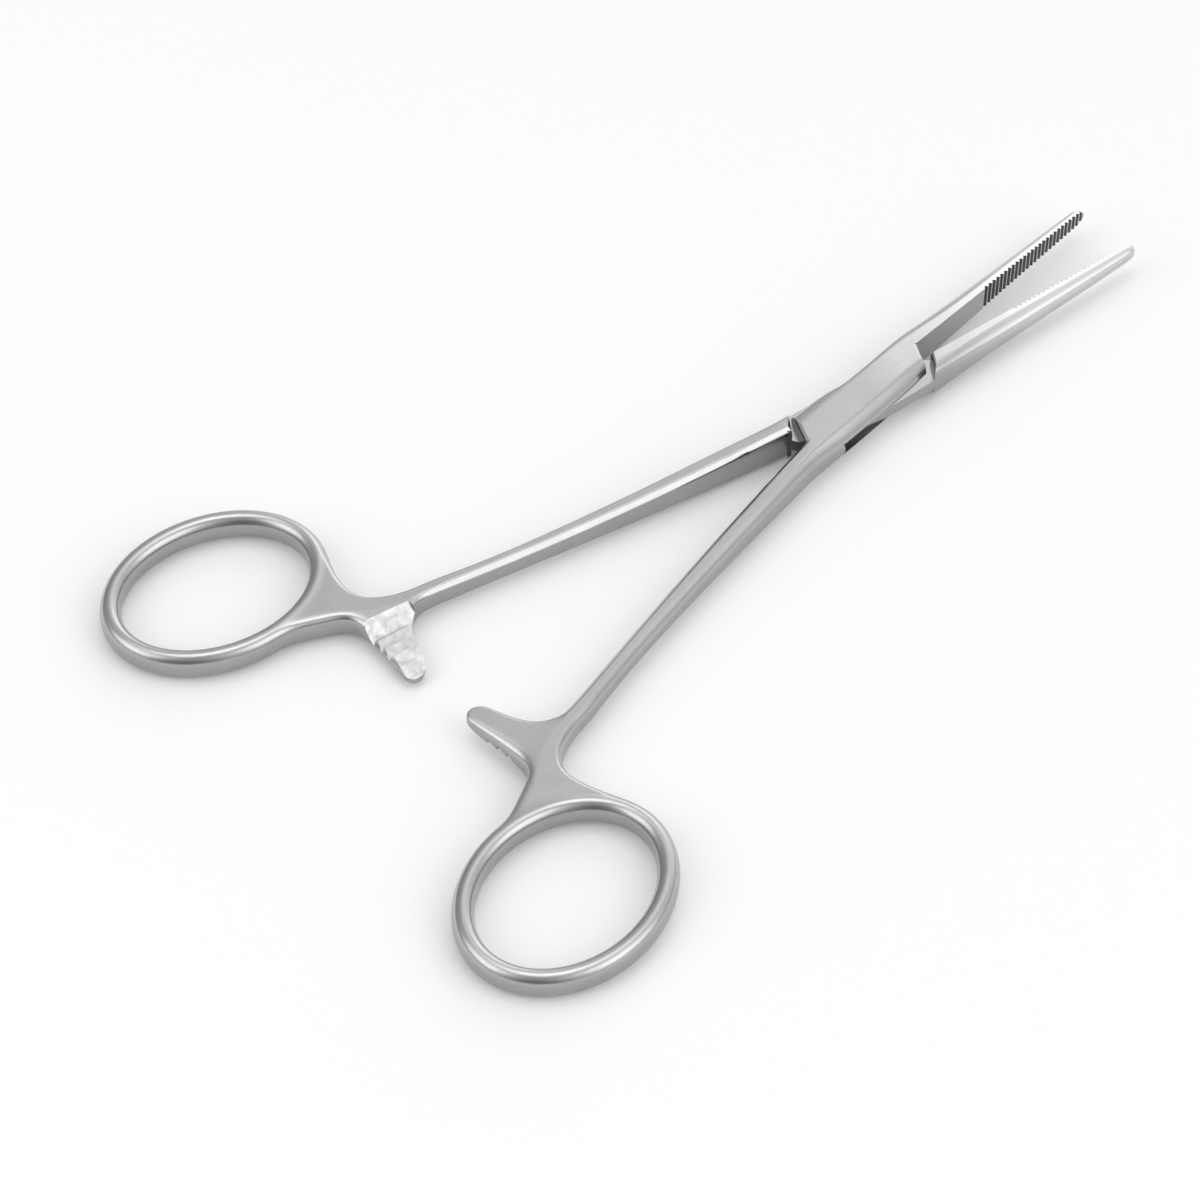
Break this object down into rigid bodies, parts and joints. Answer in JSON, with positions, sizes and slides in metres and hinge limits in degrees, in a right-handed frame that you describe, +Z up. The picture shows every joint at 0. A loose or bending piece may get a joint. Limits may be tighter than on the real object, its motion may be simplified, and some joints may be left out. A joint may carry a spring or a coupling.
{
  "type": "locking forceps",
  "caption": "Straight stainless-steel locking forceps: finger-ring halves cross in a box lock on a flush pin, with a ratchet between the shanks and half-serrated jaws.",
  "frame": {"origin": "on the pin's axis, at the lower face of the box lock, on which the instrument lies", "axes": "+X towards the jaw tips, +Z up along the pin, +Y to the left of the jaws"},
  "size_m": [0.1373, 0.0834, 0.005],
  "materials": {
    "satin_steel": "satin, with polished rounded edges",
    "pin_steel": "satin, ground flush with the plates"
  },
  "bodies": {
    "box_side": {"box_half": "satin_steel", "pivot_pin": "pin_steel"},
    "tongue_side": {"tongue_half": "satin_steel"}
  },
  "joints": [
    {"name": "box_lock_pivot", "type": "hinge", "parent": "box_side", "child": "tongue_side", "pos_m": [0, 0, 0], "axis": [0, 0, -1], "range_deg": [-10.4, 49.6]}
  ]
}
